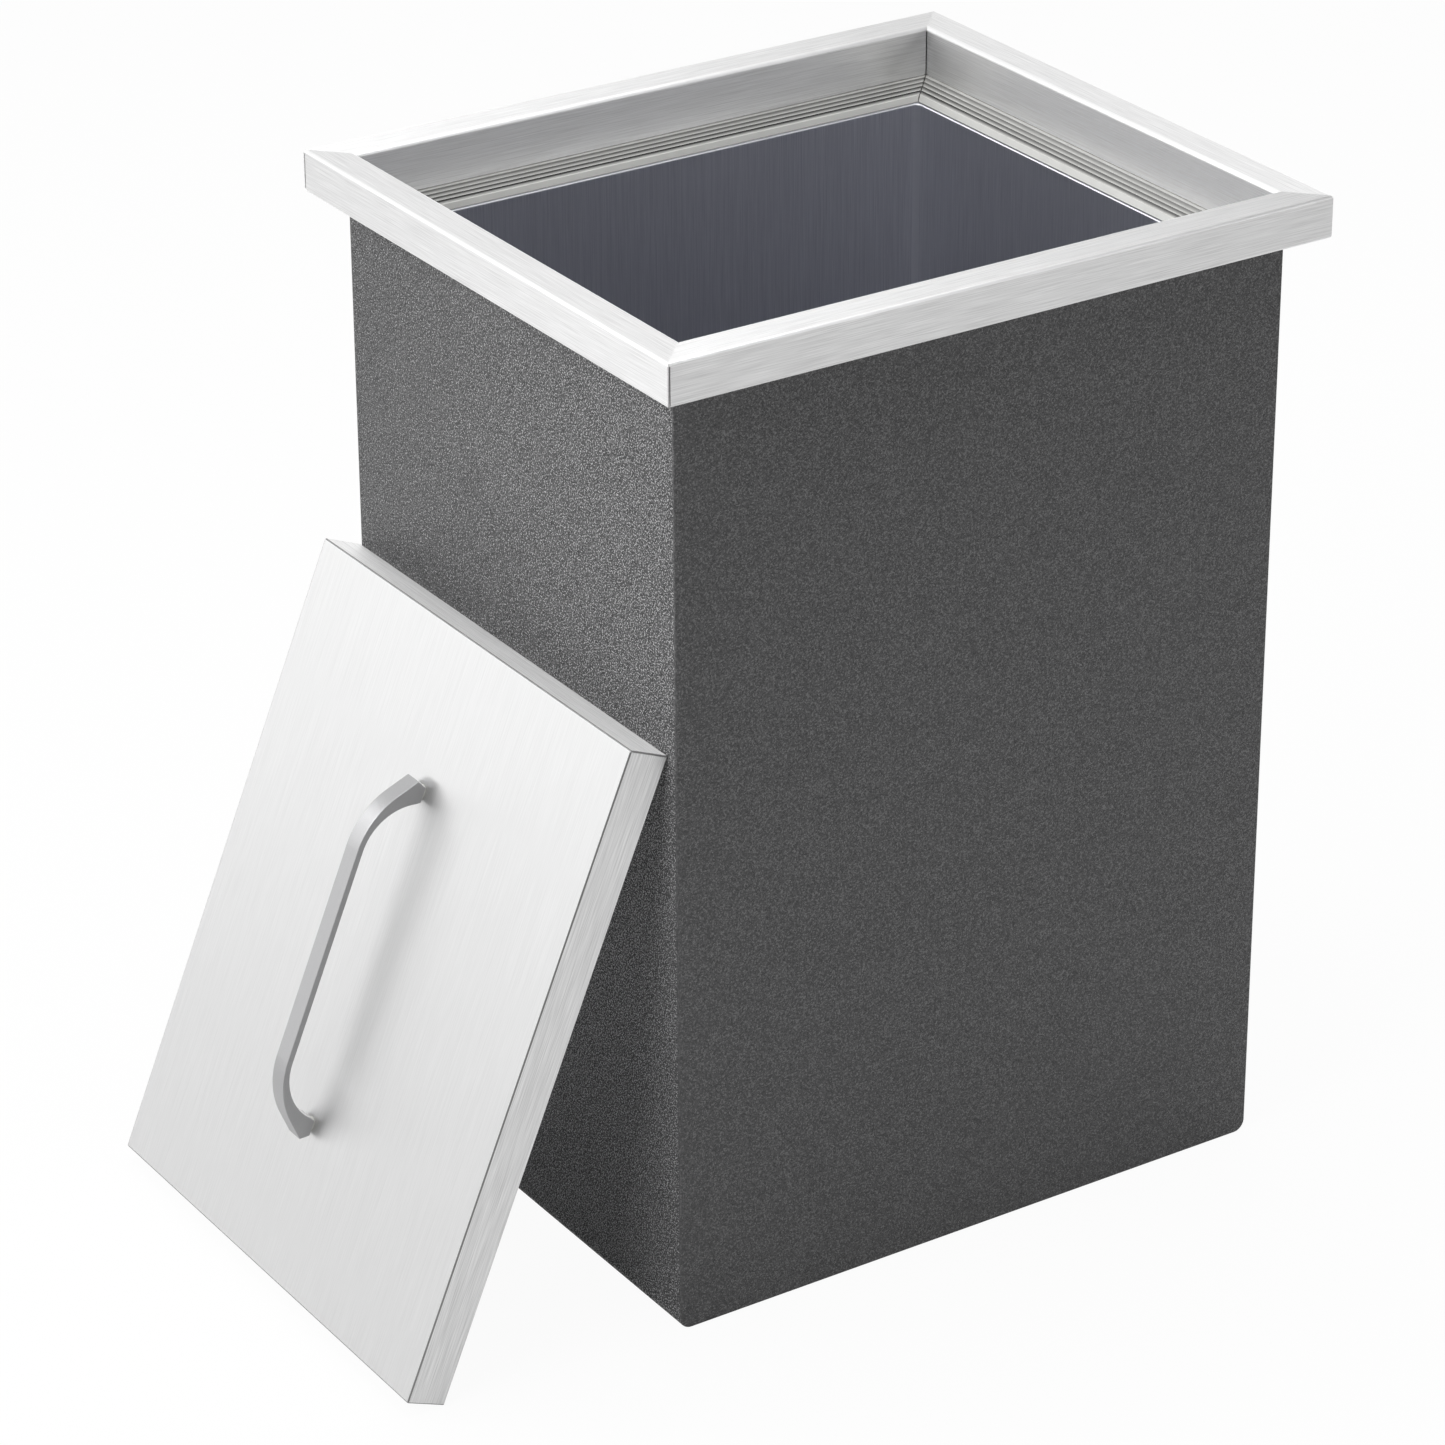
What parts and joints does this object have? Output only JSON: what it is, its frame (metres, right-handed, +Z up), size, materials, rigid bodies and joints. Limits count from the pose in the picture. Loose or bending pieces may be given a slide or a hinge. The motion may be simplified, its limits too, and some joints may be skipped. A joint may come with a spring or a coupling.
{
  "type": "drop in ice bin",
  "caption": "Insulated stainless ice well for a worktop cut-out: flanged rim, fluted breaker strip, dark painted shell, floor drain with stopper, and a lift-off lid with an arch pull.",
  "frame": {"origin": "centre of the underside, at the mouth of the drain's socket", "axes": "+Z up, +X along the wide front face, +Y from the front to the back; the lid leans on the left wall, at -X"},
  "size_m": [0.4834, 0.3104, 0.49],
  "materials": {
    "brushed_stainless": "straight brushed stainless sheet",
    "liner_stainless": "bright cold rolled stainless sheet",
    "textured_paint": "dark grey powder coat with a fine orange peel texture",
    "strip_plastic": "warm grey extruded plastic",
    "insulation_foam": "rigid polyurethane foam",
    "satin_handle": "satin",
    "nickelled_brass": "nickel plated brass",
    "black_rubber": "moulded rubber",
    "spacer_nylon": "grey nylon",
    "zinc_steel": "zinc plated steel"
  },
  "bodies": {
    "bin": {"shell_wrap": "textured_paint", "shell_front_panel": "textured_paint", "shell_back_panel": "textured_paint", "body_foam": "insulation_foam", "inner_liner": "liner_stainless", "rim_rail_front": "brushed_stainless", "rim_rail_back": "brushed_stainless", "rim_rail_left": "brushed_stainless", "rim_rail_right": "brushed_stainless", "breaker_strip_front": "strip_plastic", "breaker_strip_back": "strip_plastic", "breaker_strip_left": "strip_plastic", "breaker_strip_right": "strip_plastic", "drain_bush": "nickelled_brass", "drain_seal": "black_rubber", "drain_locknut": "nickelled_brass", "drain_strainer": "liner_stainless"},
    "lid": {"lid_outer_pan": "brushed_stainless", "lid_inner_pan": "liner_stainless", "lid_foam": "insulation_foam", "lid_handle": "satin_handle", "handle_spacers": "spacer_nylon", "handle_screws": "zinc_steel", "screw_washers": "zinc_steel"},
    "stopper": {"drain_stopper": "black_rubber"}
  },
  "joints": [
    {"name": "lid_lift", "type": "slide", "parent": "bin", "child": "lid", "axis": [-0.9225, 0, 0.3859], "range_m": [0, 0.28]},
    {"name": "stopper_lift", "type": "slide", "parent": "bin", "child": "stopper", "axis": [0, 0, 1], "range_m": [0, 0.48]}
  ]
}
